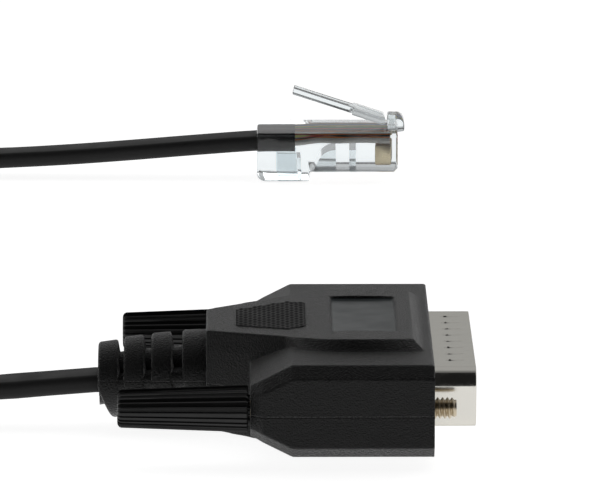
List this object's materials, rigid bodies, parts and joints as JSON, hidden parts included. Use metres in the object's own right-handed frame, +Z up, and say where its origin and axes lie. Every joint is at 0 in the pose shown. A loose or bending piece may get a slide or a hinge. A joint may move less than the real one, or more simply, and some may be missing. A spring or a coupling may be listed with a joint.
{
  "type": "console cable with modular plug and 25-way d-sub connector",
  "caption": "Flat black console cable with a clear modular plug on one end and a moulded male D-sub connector with ribbed thumbscrews on the other, spare length wound in a neat coil.",
  "frame": {"origin": "on the surface that the cable lies on, under the middle of the moulded D-sub connector without its cord", "axes": "+X along the connector towards its metal shell, +Z up, +Y across it towards the far thumbscrew and the plug"},
  "size_m": [0.1505, 0.2029, 0.0153],
  "materials": {
    "hood_pvc": "finely grained black PVC moulding",
    "knob_plastic": "semi-gloss black, ribbed",
    "cord_pvc": "satin black flexible PVC",
    "nickel": "bright tin or nickel plate on drawn steel",
    "screw_steel": "plated steel with a brownish tone",
    "insulator": "black moulded plastic",
    "gold": "gold-flashed contact pins",
    "contact_gold": "gold-plated contact blades",
    "clear_plastic": "clear polycarbonate",
    "wire_white": "wire insulation",
    "wire_brown": "wire insulation",
    "wire_yellow": "wire insulation",
    "wire_green": "wire insulation",
    "wire_red": "wire insulation",
    "wire_black": "wire insulation",
    "wire_orange": "wire insulation",
    "wire_blue": "wire insulation"
  },
  "bodies": {
    "connector_and_cord": {"moulded_hood": "hood_pvc", "metal_shell": "nickel", "pin_insulator": "insulator", "cord_hood_side": "cord_pvc", "cord_coil": "cord_pvc", "cord_plug_side": "cord_pvc", "plug_body": "clear_plastic", "pin_01": "gold", "pin_02": "gold", "pin_03": "gold", "pin_04": "gold", "pin_05": "gold", "pin_06": "gold", "pin_07": "gold", "pin_08": "gold", "pin_09": "gold", "pin_10": "gold", "pin_11": "gold", "pin_12": "gold", "pin_13": "gold", "pin_14": "gold", "pin_15": "gold", "pin_16": "gold", "pin_17": "gold", "pin_18": "gold", "pin_19": "gold", "pin_20": "gold", "pin_21": "gold", "pin_22": "gold", "pin_23": "gold", "pin_24": "gold", "pin_25": "gold", "contact_1": "contact_gold", "contact_2": "contact_gold", "contact_3": "contact_gold", "contact_4": "contact_gold", "contact_5": "contact_gold", "contact_6": "contact_gold", "contact_7": "contact_gold", "contact_8": "contact_gold", "wire_1": "wire_white", "wire_2": "wire_brown", "wire_3": "wire_yellow", "wire_4": "wire_green", "wire_5": "wire_red", "wire_6": "wire_black", "wire_7": "wire_orange", "wire_8": "wire_blue"},
    "thumbscrew_near": {"thumbscrew_knob_near": "knob_plastic", "thumbscrew_screw_near": "screw_steel"},
    "thumbscrew_far": {"thumbscrew_knob_far": "knob_plastic", "thumbscrew_screw_far": "screw_steel"},
    "plug_latch": {"plug_latch": "clear_plastic"}
  },
  "joints": [
    {"name": "thumbscrew_near_turn", "type": "hinge", "parent": "connector_and_cord", "child": "thumbscrew_near", "pos_m": [-0.01, -0.02352, 0.0076], "axis": [1, 0, 0], "continuous": true},
    {"name": "thumbscrew_far_turn", "type": "hinge", "parent": "connector_and_cord", "child": "thumbscrew_far", "pos_m": [-0.01, 0.02352, 0.0076], "axis": [1, 0, 0], "continuous": true},
    {"name": "plug_latch_flex", "type": "hinge", "parent": "connector_and_cord", "child": "plug_latch", "pos_m": [0.01607, 0.17, 0.00903], "axis": [0, -1, 0], "range_deg": [0, 16], "stiffness_Nm_per_rad": 0.05}
  ]
}
